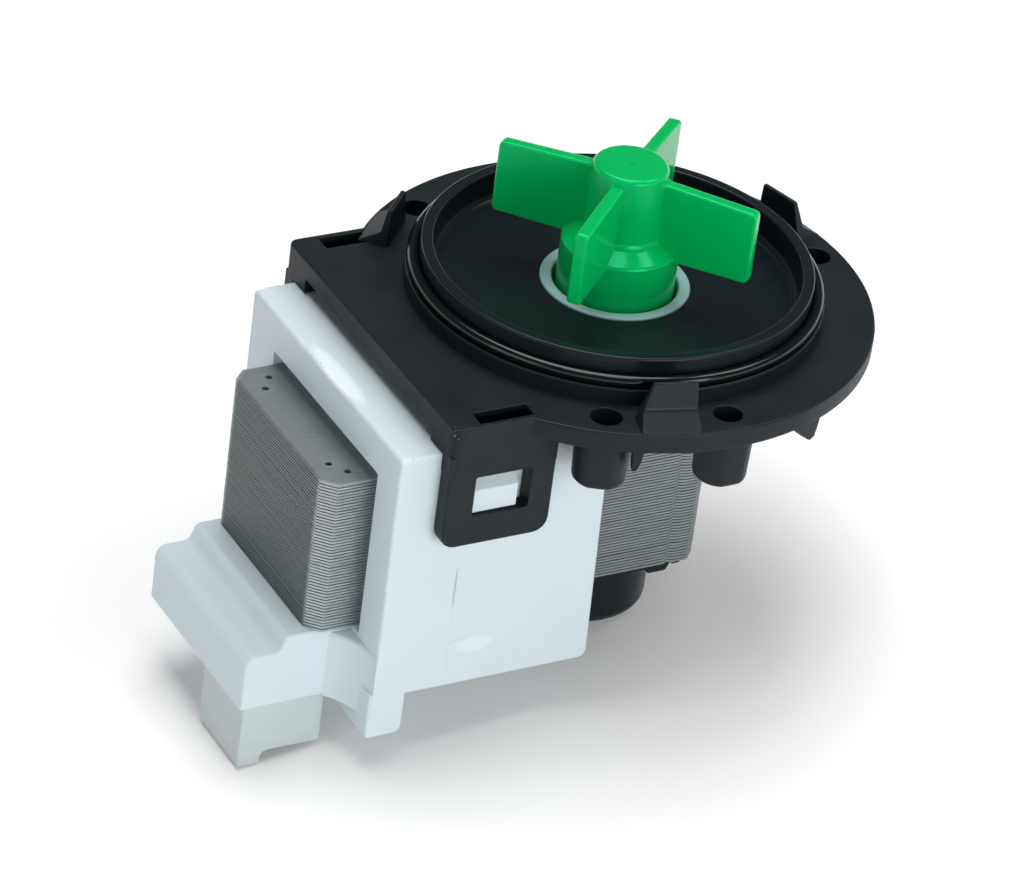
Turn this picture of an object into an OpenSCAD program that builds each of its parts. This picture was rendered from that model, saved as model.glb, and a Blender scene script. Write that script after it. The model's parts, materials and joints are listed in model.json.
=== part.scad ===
// Washer drain pump: a synchronous motor with its front flange and impeller, in millimetres.
// +Z is the rotor's axis and points out of the impeller. The origin is on that axis, in the
// plane of the flange's face. The coils and the connector lie towards -X.

/* [Flange] */
// Radius of the flange
flange_r = 42; // [41.6:0.1:46]
// Thickness of the flange and its wing
flange_t = 3.4; // [2.6:0.1:4.4]
// Outer radius of the raised rim
rim_r = 31.4; // [30:0.1:32]
// Width of the rim's flat top
rim_w = 2; // [1.4:0.1:3]
// Height of the rim above the flange's face
rim_h = 7.1; // [5.5:0.1:9]
// Radius of the spigot shoulder that centres the pump
shoulder_r = 33.5; // [33.4:0.1:35]
// Height of the shoulder above the flange's face
shoulder_h = 2.7; // [1.8:0.1:3.4]
// Height of the dished floor above the flange's face
floor_h = 2; // [1.2:0.1:3]
// Thickness of the dished floor
floor_t = 2.6; // [2:0.1:3.4]
// Edge break on the flange and the rim
edge = 0.4; // [0.2:0.1:0.6]
// Radius of the seal ring's section
seal_r = 0.95; // [0.8:0.05:0.98]

/* [Screw bosses] */
// Distance from the flange's edge in to the circle that the screw holes lie on
screw_inset = 4.6; // [4.2:0.1:5]
// Radius of a screw hole
screw_hole_r = 2.5; // [2.1:0.1:2.8]
// Radius of the extra screw hole
extra_hole_r = 2.3; // [1.8:0.1:2.3]
// Radius of a screw boss
boss_r = 4.5; // [4:0.1:4.8]
// Length of a boss below the flange
boss_len = 7.8; // [4:0.1:12]
// Number of evenly spaced screw holes
screw_count = 3; // [3:1:3]
// Angle of the extra screw hole
extra_screw_angle = -90; // [-94:1:-88]

/* [Locating ramps] */
// Distance from the flange's edge in to the ramps' inner faces
ramp_inset = 5.5; // [5.2:0.1:6]
// Height of a ramp above the flange's face
ramp_h = 6.5; // [5:0.1:8]
// Length of a ramp's foot
ramp_len = 5; // [4.6:0.1:5.2]
// Thickness of a ramp's top
ramp_top_t = 0.8; // [0.6:0.1:1.2]
// Distance from the top's outer side to the fold in the slope
ramp_fold_len = 0.8; // [0.6:0.1:1.2]
// Height of the fold
ramp_fold_h = 2.2; // [1.8:0.1:3]
// Width of a ramp's top
ramp_w = 7.1; // [6:0.1:8]
// Widening of one side of a ramp towards its foot
ramp_slant = 2.2; // [1.5:0.1:2.5]
// Angle of the first ramp
ramp_angle = 15.6; // [13:0.2:17]
// Number of ramps
ramp_count = 3; // [3:1:3]

/* [Wing and clips] */
// Distance from the axis to the wing's outer edge
wing_x = 43.3; // [42.8:0.1:44.5]
// Radius of the wing's corners
wing_corner_r = 1.5; // [1:0.1:2]
// Step from a clip's face out to the wing's side
wing_lip = 0.3; // [0.2:0.1:0.6]
// Width of the rails that rest on the stator housing
rail_w = 4; // [3:0.1:5]
// Distance from the axis to the rails' inner ends
rail_x_in = 16; // [15:0.5:18]
// Distance from the axis to a clip's inner edge
clip_x_in = 24.6; // [24.2:0.1:26]
// Depth of the ridge where a clip leaves the wing
ridge_drop = 8.7; // [7.5:0.1:9]
// Thickness of a clip
clip_t = 2.9; // [2.4:0.1:3.4]
// Depth of a clip's lower edge below the flange's face
clip_drop = 21.8; // [20:0.1:26]
// Radius of a clip's corners
clip_corner_r = 2.5; // [1.5:0.1:3]
// Distance from the axis to the inner side of a clip's window
window_x_in = 28.7; // [28:0.1:30]
// Width of a clip's window
window_w = 9.7; // [9:0.1:11]
// Depth of the window's upper side below the flange's face
window_drop = 9.4; // [9.1:0.1:10]
// Height of the window
window_h = 7.1; // [6.5:0.1:8]
// Width of the moulding slot above each clip
slot_w = 3; // [2.4:0.1:3.2]
// Length of the moulding slot
slot_len = 9.3; // [8.6:0.1:9.6]
// Inward set of the slot from the clip's outer face
slot_in = 0.9; // [0.8:0.1:1.4]

/* [Stator housing] */
// Width of the stator housing
housing_w = 52.6; // [52.4:0.1:56]
// Depth of the housing's top below the flange's face
housing_drop = 5.9; // [5.5:0.1:6.5]
// Depth of the coil box's underside below the flange's face
housing_low = 50.7; // [50.5:0.1:54]
// Distance from the axis to the end frame's outer face
frame_x = 50.2; // [49.8:0.1:51]
// Distance from the axis to the coil box's end wall, at its foot
box_x_in = 12; // [12:0.1:13]
// Draft of the coil box's end wall over its height
box_draft = 1.3; // [0.8:0.1:1.6]
// Radius of the edges of the coil box and the foot rail
box_edge_r = 1.4; // [1:0.1:1.8]
// Distance from the axis to the foot rail's outer face
foot_x = 50.7; // [50.4:0.1:52]
// Width of the foot rail
foot_w = 6.4; // [5:0.1:8]
// Depth of the foot rail's underside below the flange's face
foot_low = 58.1; // [57.2:0.1:60]
// Depth of the frame's opening above the core
core_window_gap = 2.2; // [1:0.1:3]
// Play of the core in the frame's opening, towards the clip that shows
core_side_gap = 2; // [1:0.1:3]
// Thickness of the wedge that each clip snaps over
latch_t = 2.3; // [1.8:0.1:2.5]
// Height of the wedge's slope
latch_slope = 2.5; // [2:0.1:3]
// Width of the wedge
latch_w = 7.9; // [6:0.1:8.4]

/* [Terminal block] */
// Width of the terminal block
block_w = 34; // [33.8:0.1:38]
// Distance from the axis to the block's outer face
block_x = 68.2; // [68:0.1:72]
// Depth of the block's underside
block_low = 55; // [54:0.1:56.5]
// Depth of the block's lower shelf
shelf_low = 45.2; // [44.6:0.1:45.8]
// Distance from the axis to the start of the lower shelf
shelf_x = 64; // [63.5:0.1:64.5]
// Distance from the axis to the end of the upper shelf
shelf_top_x = 61.5; // [60.8:0.1:62]
// Radius of the block's outer upper edge
block_edge_r = 2; // [1:0.1:2.5]
// Distance that the corner flares stand out from the frame
flare_x = 3.8; // [3:0.1:4.4]
// Depth of the flares' upper ends
flare_drop = 43; // [42.6:0.1:45]

/* [Connector socket] */
// Distance from the axis to the socket's outer face
socket_x = 67.6; // [67.2:0.1:67.8]
// Length of the socket along X
socket_l = 14.2; // [13.4:0.1:14.4]
// Width of the socket along Y
socket_w = 14.2; // [13.4:0.1:14.4]
// Distance from the middle plane to the socket's near side
socket_y = 2.5; // [2:0.1:2.7]
// Depth of the socket's mouth
socket_low = 66.2; // [65.5:0.1:68]
// Wall of the socket
socket_wall = 1.2; // [1:0.1:1.4]
// Inward set of the socket's neck, where it enters the block
neck_inset = 1.4; // [1:0.1:1.8]
// Height of the neck
neck_h = 7; // [5:0.1:7.4]
// Thickness of the socket's floor
socket_floor_t = 1; // [0.8:0.1:1.5]
// Height of the notch in the mouth
notch_h = 2.2; // [1.6:0.1:3]
// Length of the corner that the notch leaves
notch_leg = 3.9; // [3:0.1:5]
// Width of a terminal tab
tab_w = 4.8; // [4:0.1:5.4]
// Thickness of a terminal tab
tab_t = 0.8; // [0.6:0.1:1]
// Distance between the two tabs
tab_pitch = 5; // [4:0.1:6]
// Depth of a tab's tip
tab_low = 61.5; // [59:0.1:61.6]
// Height of the strip that joins a tab to its coil
strip_h = 1.8; // [1.4:0.1:2.2]
// Depth of the strip's underside
strip_low = 48.6; // [48.4:0.1:49]

/* [Core] */
// Distance from the axis to the core's outer face
core_x = 57.8; // [57:0.1:59]
// Distance from the axis to the pole ends
core_end_x = 12.3; // [10:0.1:14]
// Width of the yoke that joins the legs
yoke_w = 10.5; // [10.2:0.1:10.9]
// Width of a leg
leg_w = 10; // [9.4:0.1:10]
// Distance between the legs
leg_gap = 14.8; // [14.8:0.1:15.4]
// Height of the stack of sheets
core_h = 27.6; // [27:0.1:27.8]
// Depth of the top sheet below the flange's face
core_drop = 14.7; // [14.4:0.1:14.8]
// Corner cut of the core
core_chamfer = 2.2; // [1.4:0.1:3]
// Gap between the rotor can and the poles
pole_gap = 0.4; // [0.3:0.05:0.6]
// Radius of the dimples that lock the sheets together
dimple_r = 0.7; // [0.5:0.1:0.9]

/* [Coils] */
// Gap between a leg and its coil former
leg_clear = 0.15; // [0.1:0.05:0.2]
// Wall of a coil former
bobbin_wall = 1; // [0.8:0.1:1]
// Thickness of a coil former's end flanges
bobbin_flange_t = 1.2; // [1:0.1:1.6]
// Height of the end flanges above the winding
bobbin_over = 0.85; // [0.6:0.05:0.85]
// Thickness of a winding
winding_t = 4.9; // [4:0.1:4.9]
// Distance from the axis to the coils' inner ends
coil_x_in = 15.6; // [15.4:0.1:17]
// Length of a coil former
coil_len = 29.4; // [27:0.1:29.6]
// Radius of a winding's corners
winding_corner_r = 3; // [2:0.1:4]

/* [Rotor can] */
// Outer radius of the rotor can
can_r = 11.95; // [11.8:0.05:12]
// Wall of the rotor can
can_wall = 1.25; // [1.1:0.05:1.3]
// Depth of the can's underside below the flange's face
can_drop = 56.5; // [56.2:0.1:58]
// Thickness of the can's floor
can_floor_t = 1.8; // [1.4:0.1:2.4]
// Radius of the can's lower edge
can_round = 2; // [1:0.1:3]
// Radius of the collar round the bearing cap
collar_r = 13.4; // [13.3:0.05:13.6]
// Depth of the collar's lower edge
collar_drop = 11.5; // [11.2:0.1:12]
// Distance from the axis to the end of the ledges under the poles
ledge_x = 8.6; // [7:0.1:9.5]
// Distance from the middle plane to a ledge's outer side
ledge_y = 16.9; // [15:0.1:17.2]
// Thickness of a ledge at its end
ledge_t = 1.6; // [1.2:0.1:2]
// Corner cut of a ledge's end
ledge_cut = 1; // [0.6:0.1:1.4]
// Length of the thick end of a ledge
ledge_end_l = 5.4; // [4:0.1:6]

/* [Bearings] */
// Radius of the bearing cap
cap_r = 12.05; // [11.9:0.05:12.2]
// Wall of the cap round the impeller's skirt
cap_wall = 1.95; // [1.6:0.05:2]
// Height of the cap above the dished floor
cap_rise = 0.3; // [0.1:0.1:0.8]
// Depth of the cap's underside
cap_drop = 9.5; // [9.3:0.1:10]
// Depth of the cap's inner floor
cap_floor_drop = 3.4; // [3.2:0.1:3.8]
// Radius of a bearing bush
bearing_r = 3.9; // [3.4:0.1:4.2]
// Length of a bearing bush
bearing_len = 4.9; // [4:0.1:5.2]
// Wall of the rubber sleeve round a bush
mount_wall = 1.7; // [1.2:0.1:2]
// Set of the upper bush above the cap's underside
bearing_set = 0.5; // [0.4:0.1:0.9]

/* [Rotor] */
// Radius of the shaft
shaft_r = 2; // [1.6:0.1:2.2]
// Height of the shaft's end above the flange's face
shaft_top = 17; // [14:0.1:18]
// Gap under the shaft's lower end
shaft_end_gap = 0.5; // [0.3:0.1:0.8]
// Gap between the magnet and the can
magnet_gap = 0.8; // [0.5:0.1:1]
// Length of the magnet past each face of the core
magnet_over = 1; // [0.5:0.1:2]
// Radius of the carrier inside the magnet
carrier_r = 4.4; // [3.9:0.1:5]
// Radius of a thrust washer
washer_r = 3.6; // [3.2:0.1:3.8]
// Thickness of a thrust washer
washer_t = 0.7; // [0.5:0.1:1]
// Gap between a thrust washer and its bearing
thrust_gap = 0.3; // [0.25:0.05:0.5]
// Radial clearance of a running fit
run_gap = 0.04; // [0.03:0.01:0.06]
// Gap of a seat inside one body
seat_gap = 0.02; // [0.02:0.01:0.04]

/* [Impeller] */
// Radius of the hub at its top
hub_r = 6.06; // [5.6:0.02:6.4]
// Radius of the hub at the bevel
hub_base_r = 6.5; // [6.5:0.1:7]
// Height of the hub's top above the flange's face
hub_top = 23.7; // [22.5:0.1:27]
// Radius of the hub's top edge
hub_round = 0.8; // [0.4:0.1:1.2]
// Radius of the hub's skirt
skirt_r = 9.5; // [9.3:0.1:9.6]
// Height of the bevel's lower edge
bevel_low = 9.7; // [9.4:0.1:10.2]
// Height of the bevel's upper edge
bevel_high = 11.8; // [11:0.1:13]
// Depth of the skirt's lower edge below the flange's face
skirt_drop = 2.6; // [2.4:0.1:2.8]
// Number of blades
blade_count = 4; // [2:1:6]
// Radius that the blades reach
blade_r = 21.7; // [15:0.1:26]
// Thickness of a blade
blade_t = 2.2; // [1.6:0.1:3]
// Radius of a blade's outer corners
blade_corner_r = 1.1; // [0.6:0.1:2]
// Height of the blades' lower edges
blade_low = 8.8; // [8.6:0.1:9.4]
// Height of the blades' upper edges at their tips
blade_high = 21.2; // [16:0.1:22]
// Rise of the upper edges from tip to hub
blade_rise = 0.8; // [0:0.1:1]
// Angle of the first blade
blade_angle = 41.2; // [0:0.1:90]

/* [Drive coupling] */
// Radius of the hollow in the hub
hollow_r = 8; // [7.8:0.1:8.2]
// Height of the hollow's roof
hollow_top = 8; // [7.8:0.1:8.1]
// Radius of the drive dog
dog_r = 7.6; // [7:0.1:7.6]
// Height of the drive dog
dog_h = 7; // [5:0.1:7.2]
// Height of the dog's underside above the flange's face
dog_low = 0.2; // [0:0.1:0.4]
// Radius of the dog's boss
dog_boss_r = 3.7; // [3.2:0.1:3.8]
// Half of the angle that the dog spans
dog_half_angle = 36; // [30:1:38]
// Inner radius of the stop rib
stop_r = 4.2; // [4.1:0.1:4.6]
// Half of the angle that the stop rib spans
stop_half_angle = 26; // [20:1:28]
// Angle that each rubber pad spans
pad_angle = 10; // [6:1:10]
// Thickness of the cap that closes the hollow
hub_cap_t = 1.7; // [1.2:0.1:2]
// Radial gap between the hub cap and the shaft
hub_cap_gap = 0.5; // [0.4:0.1:1]

/* [Fits] */
// Gap between a clip and the housing
clip_fit = 0.1; // [0.1:0.05:0.3]
// Gap round a part that is laid in a moulded pocket
pocket_fit = 0.05; // [0.03:0.01:0.1]
// Gap between the coil box and the rotor can
can_fit = 0.25; // [0.2:0.05:0.35]

/* [Hidden] */
$fn = 96;
// Overrun of a cut past the face that it leaves
over = 1;
// Share of a rounded edge's arc that one straight step takes, in degrees
arc_step = 15;

screw_circle_r = flange_r - screw_inset;
ramp_r = flange_r - ramp_inset;
rim_in = rim_r - rim_w;
seal_ring_r = rim_r + seat_gap + seal_r;
seal_z = shoulder_h + seat_gap + seal_r;
cap_seat_r = cap_r + seat_gap;
cap_in = cap_r - cap_wall;
can_in = can_r - can_wall;
relief_low = floor_h - floor_t;
relief_in = collar_r + floor_t;
relief_out = rim_in - floor_t / 2;
mount_r = bearing_r + seat_gap + mount_wall;
pocket_r = mount_r + seat_gap;
can_floor = -can_drop + can_floor_t;
lower_bearing_z = can_floor + seat_gap;
lower_bearing_top = lower_bearing_z + bearing_len;
upper_bearing_z = -cap_drop + bearing_set;
core_low = core_drop + core_h;
core_mid = core_drop + core_h / 2;
core_bore_r = can_r + pole_gap;
leg_y_in = leg_gap / 2;
leg_y_out = leg_y_in + leg_w;
leg_y = leg_y_in + leg_w / 2;
yoke_x_in = core_x - yoke_w;
housing_y = housing_w / 2;
clip_y_in = housing_y + clip_fit;
clip_y_out = clip_y_in + clip_t;
wing_y = clip_y_out + wing_lip;
rail_y_in = housing_y - rail_w;
slot_y_out = clip_y_out - slot_in;
slot_x_in = window_x_in + edge;
block_y = block_w / 2;
bobbin_tube = leg_clear + bobbin_wall;
bobbin_reach = bobbin_tube + winding_t + bobbin_over;
coil_x_out = coil_x_in + coil_len;
tab_y = socket_y + socket_w / 2;
tab_x = socket_x - socket_l / 2;
magnet_r = can_in - magnet_gap;
lower_washer_z = lower_bearing_top + thrust_gap;
upper_washer_z = upper_bearing_z - thrust_gap - washer_t;
stop_low = -skirt_drop + hub_cap_t + seat_gap;

// Points of an arc, with its centre, radius and the angles where it starts and ends
function arc(x, y, r, from, to) = [
    for (i = [0 : ceil(abs(to - from) / arc_step)])
        let (a = from + (to - from) * i / ceil(abs(to - from) / arc_step))
            [x + r * cos(a), y + r * sin(a)]
];

// A block between two corners
module block(low, high) {
    translate(low) cube(high - low);
}

// A tube between two heights; an inner radius of 0 makes it solid
module tube(r_out, r_in, low, high) {
    translate([0, 0, low])
        difference() {
            cylinder(r = r_out, h = high - low);
            if (r_in > 0) translate([0, 0, -over]) cylinder(r = r_in, h = high - low + 2 * over);
        }
}

// A slice of a tube, from one angle to another
module tube_slice(r_out, r_in, low, high, from, to) {
    rotate([0, 0, from])
        rotate_extrude(angle = to - from)
            translate([r_in, low]) square([r_out - r_in, high - low]);
}

// An outline in X and Z, carried along Y
module along_y(low, high) {
    translate([0, high, 0]) rotate([90, 0, 0]) linear_extrude(high - low) children();
}

// An outline in Y and Z, carried along X
module along_x(low, high) {
    translate([low, 0, 0]) rotate([90, 0, 90]) linear_extrude(high - low) children();
}

// A rectangle with round corners, between two corners
module round_rect(low, high, r) {
    translate(low + [r, 0]) square(high - low - [2 * r, 0]);
    translate(low + [0, r]) square(high - low - [0, 2 * r]);
    for (x = [low[0] + r, high[0] - r], y = [low[1] + r, high[1] - r])
        translate([x, y]) circle(r);
}

// The coil side is drawn with X as the distance from the axis towards -X
module coil_side() {
    mirror([1, 0, 0]) children();
}

// The same shape on both sides of the middle plane
module both_sides() {
    children();
    mirror([0, 1, 0]) children();
}

function screw_angles() = concat([for (i = [0 : screw_count - 1]) i * 360 / screw_count],
                                 [extra_screw_angle]);

module at_screw(angle) {
    rotate([0, 0, angle]) translate([screw_circle_r, 0, 0]) children();
}

// Flange, rim, dished floor and rotor can in one turned outline
module flange_body() {
    rotate_extrude()
        polygon(concat(
            [[0, -can_drop]],
            arc(can_r - can_round, -can_drop + can_round, can_round, -90, 0),
            [[can_r, -collar_drop - collar_r + can_r], [collar_r, -collar_drop],
             [collar_r, -flange_t], [relief_in, -flange_t], [relief_in, relief_low],
             [relief_out, relief_low], [relief_out, -flange_t],
             [flange_r - edge, -flange_t], [flange_r, -flange_t + edge],
             [flange_r, -edge], [flange_r - edge, 0],
             [shoulder_r, 0], [shoulder_r, shoulder_h],
             [rim_r, shoulder_h], [rim_r, rim_h - edge], [rim_r - edge, rim_h],
             [rim_in + edge, rim_h], [rim_in, rim_h - edge], [rim_in, floor_h],
             [cap_seat_r, floor_h], [cap_seat_r, -cap_drop], [can_in, -cap_drop],
             [can_in, lower_bearing_top], [pocket_r, lower_bearing_top],
             [pocket_r, can_floor], [0, can_floor]]));
}

// A locating ramp: an upright inner face, and an outer side that folds into a low slope
module ramp() {
    fold_x = ramp_r + ramp_top_t + ramp_fold_len;
    intersection() {
        along_y(-ramp_w, ramp_w)
            polygon([[ramp_r, -edge], [ramp_r, ramp_h], [ramp_r + ramp_top_t, ramp_h],
                     [fold_x, ramp_fold_h], [ramp_r + ramp_len, 0], [ramp_r + ramp_len, -edge]]);
        along_x(ramp_r - over, flange_r + over)
            polygon([[-ramp_w / 2 - ramp_slant, -edge], [-ramp_w / 2, ramp_h + over],
                     [ramp_w / 2, ramp_h + over], [ramp_w / 2 + edge, -edge]]);
    }
}

module wing_plan() {
    round_rect([rail_x_in, -wing_y], [wing_x, wing_y], wing_corner_r);
}

// The wing's underside: a rail on the housing, the ridge and the snap clip
module wing_side() {
    block([rail_x_in, rail_y_in, -housing_drop], [wing_x + over, clip_y_in, -flange_t / 2]);
    block([clip_x_in, clip_y_in, -ridge_drop], [wing_x + over, wing_y + over, -flange_t / 2]);
    along_y(clip_y_in, clip_y_out)
        round_rect([clip_x_in, -clip_drop], [wing_x, -flange_t], clip_corner_r);
}

module wing_side_cuts() {
    block([window_x_in, clip_y_in - over, -window_drop - window_h],
          [window_x_in + window_w, wing_y + over, -window_drop]);
    block([slot_x_in, slot_y_out - slot_w, -housing_drop - over],
          [slot_x_in + slot_len, slot_y_out, over]);
}

// Two small teeth under the flange's edge, one on each side of the extra screw hole.
// Each outline gives angles round the flange and depths below its face, and it starts and ends
// inside the flange.
tooth_t = 2;
right_tooth = [[-78, flange_t / 2], [-69.5, 6.7], [-67.9, 6.4], [-66.2, flange_t / 2]];
left_tooth = [[-114, flange_t / 2], [-113.4, 6.8], [-112.4, 6.7], [-111.8, 5.6],
              [-110.7, flange_t / 2]];

module edge_tooth(outline) {
    from = outline[0][0];
    intersection() {
        tube(flange_r, flange_r - tooth_t, -flange_r, 0);
        rotate([0, 0, from])
            along_x(0, flange_r + over)
                polygon([for (p = outline) [flange_r * sin(p[0] - from), -p[1]]]);
    }
}

// A ledge under one pole, in one piece with the rotor can; its end is thicker
module pole_ledge() {
    top = -core_low - pocket_fit;
    end_x = ledge_x - ledge_end_l;
    difference() {
        along_y(0, ledge_y)
            polygon([[-can_r / 2, top], [ledge_x, top], [ledge_x - ledge_cut, top - ledge_t],
                     [end_x, top - ledge_t], [end_x, top - ledge_t / 2],
                     [-can_r / 2, top - ledge_t / 2]]);
        tube(can_r - can_wall / 2, 0, -can_drop, 0);
    }
}

module flange_housing() {
    color([0.15, 0.17, 0.19])
        difference() {
            union() {
                flange_body();
                coil_side()
                    translate([0, 0, -flange_t])
                        linear_extrude(flange_t)
                            difference() {
                                wing_plan();
                                circle(rim_r);
                            }
                intersection() {
                    coil_side() both_sides() wing_side();
                    coil_side() translate([0, 0, -clip_drop - over]) linear_extrude(clip_drop) wing_plan();
                }
                intersection() {
                    for (a = screw_angles())
                        at_screw(a) tube(boss_r, 0, -flange_t - boss_len, -flange_t / 2);
                    tube(flange_r - edge, rim_r, -flange_t - boss_len - over, 0);
                }
                for (i = [0 : ramp_count - 1])
                    rotate([0, 0, ramp_angle + i * 360 / ramp_count]) ramp();
                edge_tooth(right_tooth);
                edge_tooth(left_tooth);
                both_sides() pole_ledge();
            }
            coil_side() both_sides() wing_side_cuts();
            for (a = screw_angles())
                at_screw(a)
                    tube(a == extra_screw_angle ? extra_hole_r : screw_hole_r, 0,
                         -flange_t - boss_len - over, over);
        }
}

module spigot_seal() {
    color([0.05, 0.05, 0.06])
        rotate_extrude() translate([seal_ring_r, seal_z]) circle(seal_r);
}

module bearing_cap() {
    color([0.75, 0.8, 0.79])
        difference() {
            tube(cap_r, pocket_r, -cap_drop + seat_gap, floor_h + cap_rise);
            tube(cap_in, 0, -cap_floor_drop, floor_h + cap_rise + over);
        }
}

// A rubber sleeve and the bush inside it, at a given height
module bearing_sleeve(low) {
    color([0.1, 0.1, 0.1]) tube(mount_r, bearing_r + seat_gap, low, low + bearing_len);
}

module bearing_bush(low) {
    color([0.35, 0.33, 0.31]) tube(bearing_r, shaft_r + run_gap, low, low + bearing_len);
}

module upper_bearing_mount() { bearing_sleeve(upper_bearing_z); }
module upper_bearing() { bearing_bush(upper_bearing_z); }
module lower_bearing_mount() { bearing_sleeve(lower_bearing_z); }
module lower_bearing() { bearing_bush(lower_bearing_z); }

// Side view of the coil box, with a drafted end wall
module box_outline() {
    polygon(concat(
        [[frame_x, -housing_drop], [frame_x, -housing_low]],
        arc(box_x_in + box_edge_r, -housing_low + box_edge_r, box_edge_r, -90, -180),
        [[box_x_in + box_draft, -housing_drop]]));
}

// Side view of the foot rail
module foot_outline() {
    polygon(concat(
        [[foot_x - foot_w, -housing_low + over], [foot_x, -housing_low + over], [foot_x, -foot_low]],
        arc(foot_x - foot_w + box_edge_r, -foot_low + box_edge_r, box_edge_r, -90, -180)));
}

// Side view of the terminal block: an upper shelf, a slope and a lower shelf
module block_outline() {
    slope_r = (shelf_low - core_low) / 2;
    polygon(concat(
        [[frame_x - over, -block_low], [frame_x - over, -core_low]],
        [[shelf_top_x - slope_r, -core_low]],
        arc(shelf_top_x - slope_r, -core_low - slope_r, slope_r, 90, 30),
        arc(shelf_x + slope_r, -shelf_low + slope_r, slope_r, 225, 270),
        arc(block_x - block_edge_r, -shelf_low - block_edge_r, block_edge_r, 90, 0),
        [[block_x, -block_low]]));
}

// Plan of the concave flare from the block's side to the frame's corner
module flare_outline() {
    reach = housing_y - block_y;
    flare_r = (flare_x * flare_x + reach * reach) / (2 * flare_x);
    difference() {
        translate([frame_x - over, block_y - over]) square([flare_x + over, reach + over]);
        translate([frame_x + flare_r, housing_y]) circle(flare_r);
    }
}

// The wedge that a clip snaps over, thickest at its lower end
module latch() {
    low = -window_drop - window_h + clip_fit;
    high = -window_drop - edge;
    along_x(window_x_in + window_w - clip_fit - latch_w, window_x_in + window_w - clip_fit)
        polygon([[housing_y - over, low], [housing_y + latch_t, low],
                 [housing_y + latch_t, high - latch_slope], [housing_y, high],
                 [housing_y - over, high]]);
}

// A leg's section, grown by a clearance, carried along X
module leg_bar(low, high, grow) {
    block([low, leg_y_in - grow, -core_low - grow], [high, leg_y_out + grow, -core_drop + grow]);
}

// The space that a coil takes, grown by a gap
module coil_space(gap) {
    block([coil_x_in - gap, leg_y_in - bobbin_reach - gap, -core_low - bobbin_reach - gap],
          [coil_x_out + gap, leg_y_out + bobbin_reach + gap, -core_drop + bobbin_reach + gap]);
}

// The socket's neck, grown by a gap; it sits in the terminal block
module socket_neck(gap) {
    block([socket_x - socket_l + neck_inset - gap, -socket_y - socket_w + neck_inset - gap, -block_low],
          [socket_x - neck_inset + gap, -socket_y - neck_inset + gap, -block_low + neck_h + gap]);
}

// A terminal: a strip from the coil and the tab that hangs into the socket
module terminal_shape(y, gap) {
    along_y(y - tab_t / 2 - gap, y + tab_t / 2 + gap) {
        translate([coil_x_out + seat_gap, -strip_low - gap])
            square([tab_x - coil_x_out, strip_h + 2 * gap]);
        translate([tab_x - tab_w / 2 - gap, -tab_low - gap])
            square([tab_w + 2 * gap, tab_low - strip_low + strip_h + 2 * gap]);
    }
}

front_tab_y = -tab_y - tab_pitch / 2;
back_tab_y = -tab_y + tab_pitch / 2;

module stator_housing() {
    color([0.86, 0.9, 0.92])
        coil_side()
            difference() {
                union() {
                    along_y(-housing_y, housing_y) {
                        box_outline();
                        foot_outline();
                    }
                    along_y(-block_y, block_y) block_outline();
                    both_sides()
                        translate([0, 0, -block_low])
                            linear_extrude(block_low - flare_drop) flare_outline();
                    both_sides() latch();
                }
                block([yoke_x_in - leg_clear, -leg_y_out - core_side_gap, -core_low],
                      [frame_x + over, leg_y_out + leg_clear, -core_drop + core_window_gap]);
                both_sides() {
                    coil_space(seat_gap);
                    leg_bar(0, core_x, leg_clear);
                }
                socket_neck(pocket_fit);
                terminal_shape(front_tab_y, pocket_fit);
                terminal_shape(back_tab_y, pocket_fit);
                tube(can_r + can_fit, 0, -block_low, -collar_drop);
                tube(collar_r + can_fit, 0, -core_drop, 0);
            }
}

dimple_x = [54.4, 52.5];
dimple_y = [11.3, 14.1];
dimple_t = 0.5;

// Half of a sheet's outline, from the middle of the yoke round one leg
function half_sheet(side) = [
    [core_x, side * (leg_y_out - core_chamfer)], [core_x - core_chamfer, side * leg_y_out],
    [core_chamfer - core_end_x, side * leg_y_out],
    [-core_end_x, side * (leg_y_out - core_chamfer)], [-core_end_x, side * leg_y_in],
    [yoke_x_in, side * leg_y_in]
];

module core_pack() {
    color([0.5, 0.53, 0.53])
        coil_side()
            difference() {
                translate([0, 0, -core_low])
                    linear_extrude(core_h)
                        polygon([for (p = half_sheet(1)) p,
                                 for (i = [5 : -1 : 0]) half_sheet(-1)[i]]);
                tube(core_bore_r, 0, -core_low - over, 0);
                both_sides()
                    for (i = [0 : 1])
                        translate([dimple_x[i], dimple_y[i], 0])
                            tube(dimple_r, 0, -core_drop - dimple_t, 0);
            }
}

// A coil former round one leg, on the +Y side
module bobbin() {
    color([0.9, 0.9, 0.85])
        difference() {
            union() {
                leg_bar(coil_x_in, coil_x_out, bobbin_tube);
                for (x = [coil_x_in, coil_x_out - bobbin_flange_t])
                    leg_bar(x, x + bobbin_flange_t, bobbin_reach);
            }
            leg_bar(coil_x_in - over, coil_x_out + over, leg_clear);
        }
}

// The winding on that former
module winding() {
    color([0.72, 0.4, 0.22])
        along_x(coil_x_in + bobbin_flange_t + seat_gap, coil_x_out - bobbin_flange_t - seat_gap)
            difference() {
                winding_section(bobbin_tube + winding_t, winding_corner_r);
                winding_section(bobbin_tube + seat_gap, edge);
            }
}

// A leg's section grown by a wall, with round corners
module winding_section(grow, r) {
    round_rect([leg_y_in - grow, -core_low - grow], [leg_y_out + grow, -core_drop + grow], r);
}

module back_bobbin() { coil_side() bobbin(); }
module front_bobbin() { coil_side() mirror([0, 1, 0]) bobbin(); }
module back_winding() { coil_side() winding(); }
module front_winding() { coil_side() mirror([0, 1, 0]) winding(); }

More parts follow.
